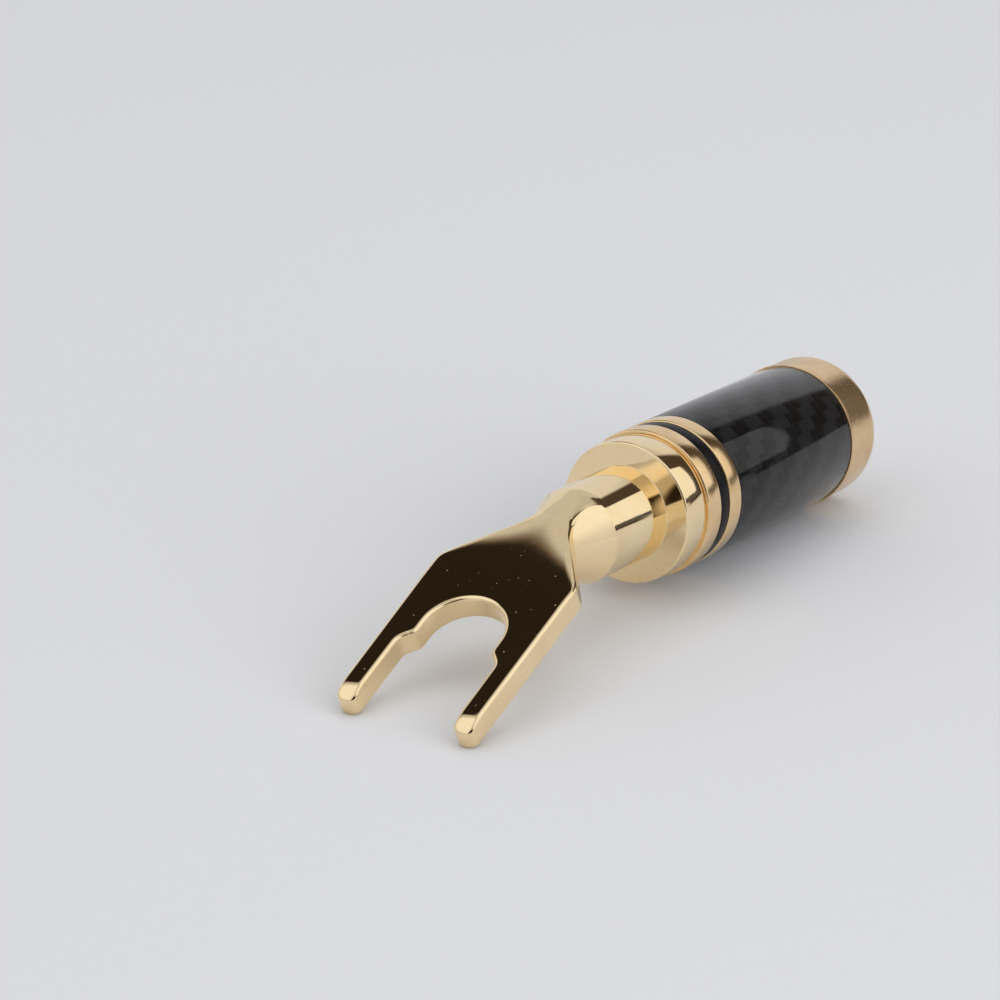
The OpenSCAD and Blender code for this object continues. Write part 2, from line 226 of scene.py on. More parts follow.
class Nodes:
    """The nodes of a finish or of the sky, with short ways to add them and join them up"""

    def __init__(self, owner):
        owner.use_nodes = True
        self.tree = owner.node_tree

    def join(self, value, socket):
        """Feeds a socket from another node, or sets it to a plain value"""
        if isinstance(value, bpy.types.NodeSocket):
            self.tree.links.new(value, socket)
        else:
            socket.default_value = value

    def add(self, kind, inputs, **settings):
        """Adds a node with its settings and inputs, and gives its outputs"""
        node = self.tree.nodes.new(kind)
        for key, value in settings.items():
            setattr(node, key, value)
        for key, value in inputs.items():
            self.join(value, node.inputs[key])
        return node.outputs

    def place(self):
        return self.add("ShaderNodeTexCoord", {})["Object"]

    def parts(self, vector):
        return self.add("ShaderNodeSeparateXYZ", {0: vector})

    def maths(self, operation, *values):
        return self.add("ShaderNodeMath", dict(enumerate(values)), operation=operation)[0]

    def stretch(self, vector, by):
        return self.add("ShaderNodeVectorMath", {0: vector, 1: by}, operation="MULTIPLY")[0]

    def noise(self, place, scale, detail, roughness=0.5):
        return self.add("ShaderNodeTexNoise", {
            "Vector": place, "Scale": scale, "Detail": detail, "Roughness": roughness})[0]

    def ramp(self, value, low, high, start=0.0, end=1.0, **settings):
        """Goes from start to end while the value goes from low to high"""
        return self.add("ShaderNodeMapRange", {0: value, 1: low, 2: high, 3: start, 4: end}, **settings)[0]

    def mix(self, share, first, second):
        return self.add("ShaderNodeMix", {0: share, 2: first, 3: second})[0]

    def tint(self, share, first, second):
        """A mix of two colours, each a node's output or red, green and blue"""
        first, second = (c if isinstance(c, bpy.types.NodeSocket) else (*c, 1) for c in (first, second))
        return self.add("ShaderNodeMix", {0: share, 6: first, 7: second}, data_type="RGBA")[2]

    def bump(self, height, depth, strength=1.0):
        return self.add("ShaderNodeBump", {"Strength": strength, "Distance": depth, "Height": height})[0]


def new_finish(name):
    """A new material, its nodes and its shader's sockets"""
    material = bpy.data.materials.new(name)
    nodes = Nodes(material)
    return material, nodes, nodes.tree.nodes["Principled BSDF"].inputs


def gold_finish(name, tone, deep_tone, dullness, peel, peel_size, wear, dust):
    """Gold plating, cloudy in its colour, with orange peel, hairlines, pits and specks of dust"""
    material, nodes, shader = new_finish(name)
    place = nodes.place()
    clouds = nodes.noise(place, scale=260.0, detail=5.0, roughness=0.6)
    pits = nodes.noise(place, scale=5200.0, detail=3.0, roughness=0.65)
    pitted = nodes.maths("MULTIPLY", nodes.ramp(pits, low=0.64, high=0.74), wear)
    cloudy = nodes.tint(nodes.ramp(clouds, low=0.35, high=0.7), tone, deep_tone)
    pit_tone = [c * 0.45 for c in deep_tone]
    nodes.join(nodes.tint(pitted, cloudy, pit_tone), shader["Base Color"])

    clouded = nodes.maths("MULTIPLY_ADD", clouds, dullness * 0.6, dullness * 0.7)
    nodes.join(nodes.maths("MULTIPLY_ADD", pitted, 0.3, clouded), shader["Roughness"])

    peeled = nodes.noise(place, scale=1 / (peel_size * mm), detail=2.0)
    brushed = nodes.add("ShaderNodeMapping", {
        "Vector": place, "Rotation": (0.3, 0.2, 0.9), "Scale": (14, 520, 520)})[0]
    lines = nodes.noise(brushed, scale=9.0, detail=6.0, roughness=0.7)
    hairlines = nodes.ramp(lines, low=0.62, high=0.72)
    relief = nodes.maths("MULTIPLY_ADD", hairlines, -0.25 * wear, peeled)
    nodes.join(nodes.bump(relief, depth=peel * mm), shader["Normal"])

    shader["Metallic"].default_value = 1.0
    if dust:
        grain_size = 0.6
        grains = nodes.add("ShaderNodeTexVoronoi", {"Vector": place, "Scale": 1 / (grain_size * mm)})
        speck_size = nodes.ramp(nodes.parts(grains[1])[0], low=0.4, high=1.0, end=0.13)
        speck = nodes.maths("LESS_THAN", grains[0], speck_size)
        nodes.join(nodes.maths("MULTIPLY_ADD", speck, -dust, 1.0), shader["Metallic"])
    return material


polished_gold = gold_finish(
    "polished_gold", tone=(0.95, 0.765, 0.47), deep_tone=(0.92, 0.72, 0.42),
    dullness=0.06, peel=0.0012, peel_size=0.9, wear=0.35, dust=0.5)
terminal_bar.data.materials.clear()
terminal_bar.data.materials.append(polished_gold)
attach(terminal_bar, "terminal")
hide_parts("fork_terminal")

# The front half of the same terminal: the cone of the nose, cut away at its sides, runs into the neck
# and the forged fork. The fork is pressed to shape while hot, then milled, polished and plated. Along
# the fork, s counts from the seat's middle towards the tips, and n upwards from the flat face.
fork_slope = radians(28)
neck_slope = radians(21.6)
nose_angle = radians(20.5)
seat_ahead = 27.3
seat_drop = 3.9
seat_r = 4.0
plate_t = 2.4
prong_l = 10.6
shoulder_s = -8.0
shoulder_w = 7.5
shoulder_soft = 0.5
side_rows = (-3.5, 0, 3.5, 7)
tip_w = 7.3
tip_r = 0.9
tip_steps = 8
tip_slope = 0.42
slope_start = 8.3
slope_end = 9.7
slope_steps = 7
mouth_w = 5.2
mouth_s = 6
step_start = 1.4
step_end = 2.6
step_inner_r = 1.0
step_outer_r = 1.4
waist_w = 2.0
waist_r = 4.0
neck_r = 7.0
neck_s = -17.7
neck_extra_t = 0.35
neck_crown = 0.4
neck_extra_sunk = 0.1
bend_r = 90.0
bend_steps = 24
plate_start = 12.4
plate_step = 0.2
plate_ease = 1.6
nose_end = 17.0
nose_rows = 40
nose_rings = 28
nose_flatness = 0.6
nose_widest = 0.97
crown_half = 0.5
crown_rows = 6
top_roll = 0.42
top_sunk = 0.32
nose_extra_roll = 0.7
nose_roll_end = 15.5
low_roll = 0.2
edge_steps = 6
face_steps = 22
forged_sharp_angle = 40
merge_gap = 0.0005


def fork_point(s, n):
    """Place along the plug and height of a point given in the fork's own frame"""
    return (seat_ahead + s * cos(fork_slope) + n * sin(fork_slope),
            -seat_drop - s * sin(fork_slope) + n * cos(fork_slope))


def fork_s(x, z):
    """How far along the fork a place lies"""
    return (x - seat_ahead) * cos(fork_slope) - (z + seat_drop) * sin(fork_slope)


# The line of the neck, from the end of the rod, meets the line of the fork in the bend
bend_x = (seat_ahead * tan(fork_slope) - seat_drop - rod_r - nose_start * tan(neck_slope)) / (
    tan(fork_slope) - tan(neck_slope))
bend_z = rod_r - (bend_x - nose_start) * tan(neck_slope)
bend_s = fork_s(bend_x, bend_z)


def top_z(x):
    """Height of the upper face along its middle: the rod's crown, then the neck"""
    if x < nose_start + crown_half:
        return rod_r - tan(neck_slope) * max(0, x - nose_start + crown_half) ** 2 / (4 * crown_half)
    return rod_r - (x - nose_start) * tan(neck_slope)


def cone_r(x):
    """Radius of the nose, which is as wide as the rod where it begins"""
    return rod_r - max(0, x - nose_start) * tan(nose_angle)


# The neck's side is an arc and then a straight taper, which touches the arc and meets the shoulder.
# The waist is where the arc begins, found along the neck's line.
neck_reach = Vector((shoulder_s - neck_s, shoulder_w - waist_w - neck_r))
taper = atan2(neck_reach.y, neck_reach.x) - atan2(sqrt(neck_reach.length_squared - neck_r ** 2), neck_r)
taper_s = neck_s + neck_r * cos(taper)
waist_x = (seat_ahead * cos(fork_slope) + neck_s + (rod_r + nose_start * tan(neck_slope) + seat_drop) * sin(
    fork_slope)) / (cos(fork_slope) + tan(neck_slope) * sin(fork_slope))


def side_w(s):
    """Half of the plate's width: the curve of the neck, the straight taper, the shoulder, the prong"""
    if s < taper_s:
        return waist_w + neck_r - sqrt(neck_r ** 2 - (max(s, neck_s) - neck_s) ** 2)
    taper_w = shoulder_w + (s - shoulder_s) / tan(-taper)
    prong_w = shoulder_w + (tip_w - shoulder_w) * (s - shoulder_s) / (prong_l - shoulder_s)
    near = max(0, shoulder_soft - abs(taper_w - prong_w))
    return min(taper_w, prong_w) - near * near / (4 * shoulder_soft)


def edge_w(x):
    """Half of the upper face's width at a place along the plug"""
    if x < waist_x:
        return waist_w + waist_r - sqrt(waist_r ** 2 - (waist_x - max(x, nose_start)) ** 2)
    return side_w(fork_s(x, top_z(x)))


def widening(s):
    """How much wider a roll measures straight across, where the plate's side runs aslant"""
    near = 0.05
    return sqrt(1 + ((side_w(s + near) - side_w(s - near)) / (2 * near)) ** 2)


def ease(value, low, high):
    """0 up to the low value, 1 from the high one on, and a smooth change between them"""
    share = min(1, max(0, (value - low) / (high - low)))
    return share * share * (3 - 2 * share)


def roll_at(x):
    """How wide the roll of the upper edge is: wide on the nose, narrow along the fork"""
    return top_roll + nose_extra_roll * (1 - ease(x, nose_start, nose_roll_end))


def spread(wide, inset):
    """Places across a face whose two edges are rolled over: distance from the middle, share of the roll"""
    rolled = []
    for k in range(edge_steps, 0, -1):
        a = pi / 2 * k / edge_steps
        rolled.append((wide - inset * (1 - sin(a)), 1 - cos(a)))
    flat = [((wide - inset) * (1 - 2 * j / face_steps), 0) for j in range(face_steps + 1)]
    return rolled + flat + [(-y, sunk) for y, sunk in reversed(rolled)]


def arc(cx, cy, r, first, last, steps):
    """Points of an arc about cx, cy, from its first angle to its last, in degrees"""
    return [(cx + r * cos(radians(first + (last - first) * i / steps)),
             cy + r * sin(radians(first + (last - first) * i / steps))) for i in range(steps + 1)]


def skin(work, near, far):
    """Faces between two rows of points"""
    for i in range(len(near) - 1):
        work.faces.new((near[i], near[i + 1], far[i + 1], far[i]))


def below_arc(x, wide, steps=80):
    """Points of the cone from the right edge of its flat, round underneath, to the left edge"""
    a = atan2(wide, sqrt(cone_r(x) ** 2 - wide ** 2))
    angles = [a + (2 * pi - 2 * a) * i / steps for i in range(steps + 1)]
    return [(x, cone_r(x) * sin(t), cone_r(x) * cos(t)) for t in angles]


# From the rod to the plate the upper face is part of the cone: round at first, then ever flatter
work = bmesh.new()
upper = []
arcs = []
stations = [crown_start + (nose_start - crown_start) * i / crown_rows for i in range(crown_rows)]
stations += [nose_start + (plate_start - nose_start) * i / nose_rows for i in range(nose_rows + 1)]
for x in stations:
    wide = edge_w(x)
    low_z = sqrt(cone_r(x) ** 2 - wide ** 2)
    flatness = nose_flatness * ease(x, nose_start, plate_start)
    roundness = min(1, (x - crown_start) / (nose_start - crown_start))
    row = []
    for y, sunk in spread(wide, roll_at(x)):
        swept = top_z(x) - (top_z(x) - low_z) * (sunk * flatness + (y / wide) ** 2 * (1 - flatness))
        turned = sqrt(rod_r ** 2 - y ** 2)
        row.append(work.verts.new((x, y, turned + (swept - turned) * roundness)))
    upper.append(row)
    arcs.append([row[0]] + [work.verts.new(p) for p in below_arc(x, wide)[1:-1]] + [row[-1]])
for near, far in zip(arcs, arcs[1:]):
    skin(work, near, far)
work.faces.new(upper[0][:-1] + list(reversed(arcs[0][1:])))

# The plate goes on from the nose's last row, through the bend, to the flat of the fork
bend_reach = bend_r * tan((fork_slope - neck_slope) / 2)
bend_first = bend_x - bend_reach * cos(neck_slope)
fork_first = fork_point(bend_s + bend_reach, 0)
bend_middle = (fork_first[0] - bend_r * sin(fork_slope), fork_first[1] - bend_r * cos(fork_slope))
plate = []
x = plate_start
while x < bend_first - 1.5 * plate_step:
    x += plate_step
    plate.append((x, top_z(x), neck_slope))
for i in range(bend_steps + 1):
    a = neck_slope + (fork_slope - neck_slope) * i / bend_steps
    plate.append((bend_middle[0] + bend_r * sin(a), bend_middle[1] + bend_r * cos(a), a))

nose_sunk = top_z(plate_start) - sqrt(cone_r(plate_start) ** 2 - edge_w(plate_start) ** 2)
nose_low_z = top_z(plate_start) - plate_t - neck_extra_t
lower = [[work.verts.new((plate_start, y, nose_low_z + low_roll * sunk))
          for y, sunk in spread(edge_w(plate_start), low_roll)]]
for x, z, slope in plate:
    s = fork_s(x, z)
    begun = ease(x, plate_start, plate_start + plate_ease)
    ended = ease(x, plate_start, fork_first[0])
    depth = nose_sunk + (top_sunk + neck_extra_sunk * (1 - ended) - nose_sunk) * begun
    row = []
    for y, sunk in spread(side_w(s), roll_at(x) * widening(s)):
        drop = depth * (sunk + ((y / side_w(s)) ** 2 - sunk) * neck_crown * (1 - ended))
        row.append(work.verts.new((x - drop * sin(slope * begun), y, z - drop * cos(slope * begun))))
    upper.append(row)
    under = plate_t + neck_extra_t * (1 - ended)
    under_x, under_z = x - under * sin(slope), z - under * cos(slope)
    row = []
    for y, sunk in spread(side_w(fork_s(under_x, under_z)), low_roll * widening(s)):
        rise = low_roll * sunk
        row.append(work.verts.new((under_x + rise * sin(slope), y, under_z + rise * cos(slope))))
    lower.append(row)
for near, far in zip(upper, upper[1:]):
    skin(work, near, far)
for near, far in zip(lower, lower[1:]):
    skin(work, far, near)
plate_rows = upper[len(stations) - 1:]
for side in (0, -1):
    skin(work, [row[side] for row in plate_rows], [row[side] for row in lower])
work.faces.new(arcs[-1] + list(reversed(lower[0])))

# The fork's plan, from the left shoulder out round the tip, back through the seat and round again
flat_s = bend_s + bend_reach
tip_s = prong_l - tip_r
slope_rows = [slope_start + (tip_s - slope_start) * i / slope_steps for i in range(slope_steps)]
half_plan = [(s, side_w(s)) for s in (flat_s, *side_rows, *slope_rows)]
half_plan += arc(tip_s, tip_w - tip_r, tip_r, 90, 0, tip_steps)
half_plan += arc(tip_s, mouth_w + tip_r, tip_r, 0, -90, tip_steps)
half_plan += [(s, mouth_w) for s in reversed(slope_rows)]
half_plan += rounded([
    (mouth_s, mouth_w, 0), (step_end, mouth_w, step_outer_r), (step_start, seat_r, step_inner_r),
    (0, seat_r, 0)])[:-1]
seat = arc(0, 0, seat_r, 90, 270, 72)
plan = half_plan + seat + [(s, -y) for s, y in reversed(half_plan)]
inward = []
for i, here in enumerate(plan):
    if i in (0, len(plan) - 1):
        inward.append(Vector((0, -1 if i == 0 else 1)))
        continue
    back = (Vector(here) - Vector(plan[i - 1])).normalized()
    on = (Vector(plan[i + 1]) - Vector(here)).normalized()
    aside = Vector((back.y, -back.x)) + Vector((on.y, -on.x))
    inward.append(aside / (1 + back.dot(on)))


def tip_depth(s):
    """How far the tip's slope lies below the fork's flat"""
    if s < slope_end:
        return tip_slope * max(0, s - slope_start) ** 2 / (2 * (slope_end - slope_start))
    return tip_slope * (s - (slope_start + slope_end) / 2)


def plan_loops(work, roll, sunk_by, low):
    """Loops of points from a face's flat edge out over its rolled edge; low is for the under face"""
    loops = []
    for k in range(edge_steps + 1):
        a = pi / 2 * k / edge_steps
        loop = []
        for (s, y), aside in zip(plan, inward):
            spot = Vector((s, y)) + aside * roll * (1 - sin(a))
            sunk = sunk_by * (1 - cos(a))
            x, z = fork_point(spot.x, sunk - plate_t if low else -sunk - tip_depth(spot.x))
            loop.append(work.verts.new((x, spot.y, z)))
        loops.append(loop)
    return loops


def fork_face(work, loop, row):
    """The flat between the plate's last row and the seat, the two prongs, and the slopes on their tips"""
    at_seat = 1 + side_rows.index(0)
    slope_at = 1 + len(side_rows)
    slope_to = slope_at + slope_steps
    inner_to = slope_to + 2 * tip_steps + 1
    inner_at = inner_to + slope_steps
    seat_at = len(half_plan)
    back_again = loop[::-1]
    for half in (loop, back_again):
        faces = [half[at_seat:slope_at + 1] + half[inner_at:seat_at + 1], half[slope_to:inner_to + 1]]
        for i in range(slope_steps):
            outer, inner = slope_at + i, inner_at - i
            faces.append([half[outer], half[outer + 1], half[inner - 1], half[inner]])
        for points in faces:
            work.faces.new(points)
    seat_points = loop[seat_at:len(loop) - seat_at]
    work.faces.new(row[edge_steps:-edge_steps] + back_again[1:at_seat + 1]
                   + seat_points[::-1] + loop[at_seat:0:-1])


rims = []
for row, roll, sunk_by, low in (
        (upper[-1], top_roll, top_sunk, False), (lower[-1], low_roll, low_roll, True)):
    loops = plan_loops(work, roll, sunk_by, low)
    fork_face(work, loops[0], row)
    for near, far in zip(loops, loops[1:]):
        skin(work, near, far)
    rims.append(loops[-1])
skin(work, rims[0], rims[1])
bmesh.ops.remove_doubles(work, verts=work.verts, dist=merge_gap)
fork_and_nose = piece_from("fork_and_nose", work, forged_sharp_angle)
flat_faces = fork_and_nose.modifiers.new("flat faces", "WEIGHTED_NORMAL")
flat_faces.keep_sharp = True
set_in(fork_and_nose)

# Under the plate the cone runs on until it's gone
work = bmesh.new()
rings = []
for i in range(nose_rings + 1):
    x = plate_start + (nose_end - plate_start) * i / nose_rings
    wide = min(edge_w(x), nose_widest * cone_r(x))
    rings.append([work.verts.new(p) for p in below_arc(x, wide)])
for near, far in zip(rings, rings[1:]):
    skin(work, near + [near[0]], far + [far[0]])
work.faces.new(rings[0])
work.faces.new(rings[-1])
nose_tip = piece_from("nose_tip", work)

for piece in (fork_and_nose, nose_tip):
    piece.data.materials.clear()
    piece.data.materials.append(polished_gold)
    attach(piece, "terminal")
    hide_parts("fork_terminal")

# Two headless steel screws clamp the bare wire in the barrel. Each has a hexagon socket, a rolled
# thread and a cupped point, and is driven from above while the shell is drawn back.
screw_top = 5.1
screw_l = 2.5
screw_thread_r = 1.95
screw_core_r = 1.72
screw_pitch = 0.45
screw_thread_start = 0.15
screw_thread_end = 0.2
screw_thread_l = screw_l - screw_thread_start - screw_thread_end
screw_rows = 44
rim_r = 1.7
rim_bevel = 0.1
hexagon_r = 1.0 / cos(pi / 6)
hexagon_l = 1.2
hexagon_bevel = 0.12
point_r = 1.5
cup_r = 1.1
cup_floor_r = 0.3
cup_l = 0.5


def hexagon(z, turned):
    """Radius of the socket's wall in one direction, the same at any height"""
    return hexagon_r * cos(pi / 6) / cos(2 * pi * turned % (pi / 3) - pi / 6)


def screw_thread(z, turned):
    """Radius of the thread at one height, in one direction"""
    return screw_core_r + (screw_thread_r - screw_core_r) * tooth((z / screw_pitch - turned) % 1)


def wire_screw(name, x, around=72):
    """Rings from the socket's floor, over the top, down the thread and into the cupped point"""
    work = bmesh.new()
    low = screw_top - screw_l
    first = screw_top - screw_thread_start
    rows = [(hexagon, screw_top - hexagon_l), (hexagon, screw_top - hexagon_bevel),
            (hexagon_r + hexagon_bevel, screw_top), (rim_r, screw_top),
            (rim_r + rim_bevel, screw_top - rim_bevel)]
    rows += [(screw_thread, first - screw_thread_l * i / screw_rows) for i in range(screw_rows + 1)]
    rows += [(point_r, low), (cup_r, low), (cup_floor_r, low + cup_l)]
    rings = []
    for radius, z in rows:
        ring = []
        for k in range(around):
            a = 2 * pi * k / around
            r = radius(z, k / around) if callable(radius) else radius
            ring.append(work.verts.new((x + r * cos(a), r * sin(a), z)))
        rings.append(ring)
    for near, far in zip(rings, rings[1:]):
        skin(work, near + [near[0]], far + [far[0]])
    work.faces.new(rings[0])
    work.faces.new(rings[-1])
    return piece_from(name, work)


screw_steel, nodes, shader = new_finish("screw_steel")
handled = nodes.noise(nodes.place(), scale=1500.0, detail=4.0)
nodes.join(nodes.tint(handled, (0.5, 0.5, 0.52), (0.36, 0.35, 0.35)), shader["Base Color"])
nodes.join(nodes.maths("MULTIPLY_ADD", handled, 0.2, 0.18), shader["Roughness"])
shader["Metallic"].default_value = 1.0
for name, x in screw_places.items():
    screw = wire_screw(name + "_cut", x)
    screw.data.materials.append(screw_steel)
    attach(screw, name.replace("wire_screw_", "") + "_screw")
    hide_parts(name)

# The shell's core: a turned brass collar and tube in one, threaded inside its front, gold plated.
# The rings and the carbon tube are pushed on from behind and the cap closes them in.
collar_front = -3.55
collar_rear = -5.75
collar_front_edge = 0.22
collar_rear_edge = 0.16
core_rear = -35.6
core_r = 6.3
core_bore = 5.4
core_edge = 0.1
nut_root = 5.92
nut_crest = 5.56
nut_l = 5.0
nut_rear = collar_front - nut_l


def nut_thread(x, r, turned):
    """Cuts the thread into the collar's bore, half a pitch off the shoulder's"""
    if abs(r - nut_root) < same_r and nut_rear < x < collar_front:
        return thread_r(x, turned + 0.5, nut_root, nut_crest, nut_rear, collar_front)
    return r


shell_core = turn("shell_core_turned", rounded([
    (collar_front, shell_r, collar_front_edge),
    (collar_rear, shell_r, collar_rear_edge),
    (collar_rear, core_r, 0),
    (core_rear, core_r, core_edge),
    (core_rear, core_bore, core_edge),
    (nut_rear, core_bore, 0),
    (nut_rear, nut_root, 0),
    *thread_line(nut_rear, collar_front, nut_root),
    (collar_front, nut_root, 0)]), around=192, cut=nut_thread)
shell_gold = gold_finish(
    "shell_gold", tone=(0.88, 0.655, 0.375), deep_tone=(0.8, 0.55, 0.28),
    dullness=0.17, peel=0.006, peel_size=0.35, wear=0.8, dust=0.0)
shell_core.data.materials.append(shell_gold)
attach(shell_core, "shell")
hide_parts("shell_core")

# The colour ring is aluminium, anodised black, and sits a little below the gold rings beside it. It
# tells the two plugs of a pair apart.
ring_gap = 0.1
ring_l = 1.5
ring_r = 7.1
ring_front = collar_rear - ring_gap
ring_rear = ring_front - ring_l
ring_edge = 0.12
sleeve_bore = 6.33


def sleeve(name, front, rear, r, front_edge, rear_edge, around=160):
    """A ring or tube that fits on the core, between two places along the plug"""
    return turn(name, rounded([
        (front, r, front_edge), (rear, r, rear_edge), (rear, sleeve_bore, fine_edge),
        (front, sleeve_bore, fine_edge)]), around=around)


colour_ring = sleeve("colour_ring_turned", ring_front, ring_rear, ring_r, ring_edge, ring_edge)
ring_black, nodes, shader = new_finish("ring_black")
specks = nodes.noise(nodes.place(), scale=4200.0, detail=3.0, roughness=0.6)
nodes.join(nodes.tint(specks, (0.0025, 0.0022, 0.0022), (0.007, 0.0062, 0.006)), shader["Base Color"])
nodes.join(nodes.maths("MULTIPLY_ADD", specks, 0.2, 0.2), shader["Roughness"])
nodes.join(nodes.bump(specks, depth=0.004 * mm, strength=0.6), shader["Normal"])
shader["Specular IOR Level"].default_value = 0.12
colour_ring.data.materials.append(ring_black)
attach(colour_ring, "shell")
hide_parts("colour_ring")

# The spacer ring between the colour ring and the carbon tube is brass, turned and gold plated as the
# core is. It is pushed on the core after the colour ring.
spacer_l = 2.0
spacer_front = ring_rear - ring_gap
spacer_rear = spacer_front - spacer_l
spacer_front_edge = 0.18
spacer_rear_edge = 0.12
spacer_ring = sleeve(
    "spacer_ring_turned", spacer_front, spacer_rear, shell_r, spacer_front_edge, spacer_rear_edge)
spacer_ring.data.materials.append(shell_gold)
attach(spacer_ring, "shell")
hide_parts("spacer_ring")

# The tube is carbon cloth, twill woven and wrapped, then coated with clear lacquer and ground round.
# Under the lacquer the tows show as a faint weave of grey and black patches.
tube_l = 21.7
tube_rear = spacer_rear - tube_l
tows_round = 36
tow = 2 * pi * shell_r / tows_round
twill_repeat = 4.0
fibre_stretch = 1.2
fibre_fineness = 26
carbon_tube = sleeve(
    "carbon_tube_wrapped", spacer_rear, tube_rear, shell_r, fine_edge, fine_edge, around=192)

carbon, nodes, shader = new_finish("carbon_twill")
grain = nodes.add("ShaderNodeUVMap", {}, uv_map="grain")[0]
cells = nodes.parts(nodes.stretch(grain, (1 / tow, 1 / tow, 1)))
stagger = nodes.maths("SUBTRACT", nodes.maths("FLOOR", cells[0]), nodes.maths("FLOOR", cells[1]))
warp_up = nodes.maths(
    "LESS_THAN", nodes.maths("FLOORED_MODULO", stagger, twill_repeat), twill_repeat / 2)


def tow_crown(cell):
    """Height across a tow, 0 at its sides and 1 along its middle"""
    wave = nodes.maths("SINE", nodes.maths("MULTIPLY", cell, pi))
    return nodes.maths("ABSOLUTE", wave)


crown = nodes.mix(warp_up, tow_crown(cells[1]), tow_crown(cells[0]))
round_fibres = nodes.noise(nodes.stretch(grain, (fibre_stretch, fibre_fineness, 1)), scale=1.0, detail=3.0)
long_fibres = nodes.noise(nodes.stretch(grain, (fibre_fineness, fibre_stretch, 1)), scale=1.0, detail=3.0)
fibres = nodes.mix(warp_up, round_fibres, long_fibres)
patch = nodes.tint(warp_up, (0.0008, 0.0008, 0.0008), (0.0095, 0.0095, 0.01))
fibre_tone = nodes.ramp(fibres, low=0.3, high=0.7, start=0.6, end=1.5)
tone = nodes.add("ShaderNodeVectorMath", {0: patch, "Scale": fibre_tone}, operation="SCALE")[0]
nodes.join(tone, shader["Base Color"])
relief = nodes.maths("MULTIPLY_ADD", fibres, 0.3, crown)
nodes.join(nodes.bump(relief, depth=0.03 * mm, strength=0.5), shader["Normal"])
shader["Roughness"].default_value = 0.45
shader["Specular IOR Level"].default_value = 0.06
shader["Coat Weight"].default_value = 1.0
shader["Coat Roughness"].default_value = 0.04
shader["Coat IOR"].default_value = 1.31
carbon_tube.data.materials.append(carbon)
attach(carbon_tube, "shell")
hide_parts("carbon_tube")

# The rear cap is turned brass: a thin lip in front, a round rear edge, and a hole for the cable. Its
# plating is the dullest of the plug, and pitted from handling.
lip_r = 7.3
lip_l = 0.5
lip_edge = 0.07
lip_foot = 0.02
lip_rear = tube_rear - lip_l
cap_l = 5.5
cap_rear = lip_rear - cap_l
cap_round = 1.8
cap_floor_t = 1.5
cap_floor = cap_rear + cap_floor_t
cap_bore = 6.35
cap_bore_edge = 0.03
cable_r = 4.8
cable_flare = 0.3
cap_gold = gold_finish(
    "cap_gold", tone=(0.84, 0.62, 0.36), deep_tone=(0.66, 0.45, 0.23),
    dullness=0.24, peel=0.014, peel_size=0.3, wear=1.0, dust=0.0)
rear_cap = turn("rear_cap_turned", rounded([
    (tube_rear, lip_r, lip_edge),
    (lip_rear, lip_r, lip_edge),
    (lip_rear, shell_r, lip_foot),
    (cap_rear, shell_r, cap_round),
    (cap_rear, cable_r + cable_flare, fine_edge),
    (cap_rear + cable_flare, cable_r, fine_edge),
    (cap_floor, cable_r, fine_edge),
    (cap_floor, cap_bore, 0),
    (tube_rear, cap_bore, cap_bore_edge)], steps=10), around=192)
rear_cap.data.materials.append(cap_gold)
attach(rear_cap, "shell")
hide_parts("rear_cap")

# The plug lies on a matt, pale and faintly mottled table, which runs on past the picture's edges. It
# is sunk by a hair, so that it doesn't touch the plug. From here on sizes are in metres.
table_half = 3.0
table_sunk = 0.00002
work = bmesh.new()
bmesh.ops.create_grid(work, x_segments=2, y_segments=2, size=table_half)
table = add_object("table", mesh_from("table", work))
table.location.z = -table_sunk
paper, nodes, shader = new_finish("pale_table")
mottle = nodes.noise(nodes.place(), scale=900.0, detail=2.0)
nodes.join(nodes.tint(mottle, (0.735, 0.74, 0.75), (0.75, 0.755, 0.765)), shader["Base Color"])
shader["Roughness"].default_value = 0.9
shader["Specular IOR Level"].default_value = 0.0
table.data.materials.append(paper)

# The studio round the table, as the polished gold mirrors it: pale walls and white screens with dark
# gaps between them. Each patch is told by direction in degrees: turned 0 is straight behind the
# cable, more is towards -Y, and height counts up from the table.
room_light = 0.55
gap_slant = 0.5
degrees = 180 / pi
world = bpy.data.worlds.new("studio")
bpy.context.scene.world = world
sky = Nodes(world)
sky.tree.nodes.clear()
look = sky.parts(sky.add("ShaderNodeTexCoord", {})["Generated"])
height = sky.maths("MULTIPLY", sky.maths("ARCSINE", look[2]), degrees)
back_x = sky.maths("MULTIPLY", look[0], -1.0)
back_y = sky.maths("MULTIPLY", look[1], -1.0)
turned = sky.maths("MULTIPLY", sky.maths("ARCTAN2", back_y, back_x), degrees)
slanted = sky.maths("MULTIPLY_ADD", height, gap_slant, turned)


def between(value, low, high, soft):
    """1 inside two limits and 0 outside them, with a soft edge"""
    rise = sky.ramp(value, low - soft, low + soft, interpolation_type="SMOOTHSTEP")
    fall = sky.ramp(value, high - soft, high + soft, 1.0, 0.0, interpolation_type="SMOOTHSTEP")
    return sky.maths("MULTIPLY", rise, fall)


def lay(behind, light, across, up):
    """Lays one patch of light or dark over what is behind it"""
    return sky.mix(sky.maths("MULTIPLY", across, up), behind, light)


def panel(behind, light, turns, heights, soft):
    """A patch between two turns and two heights"""
    return lay(behind, light, between(turned, *turns, soft), between(height, *heights, soft))


# On the side away from the camera: a pale wall, a greyer strip over it, and the gap the fork mirrors
light = panel(room_light, 0.76, turns=(-5, 110), heights=(-90, 38), soft=4)
light = panel(light, 0.62, turns=(-5, 60), heights=(38, 64), soft=5)
gap_across = between(slanted, low=78.6, high=128, soft=3.8)
gap_up = between(height, low=40, high=66, soft=5)
light = lay(light, 0.02, gap_across, gap_up)

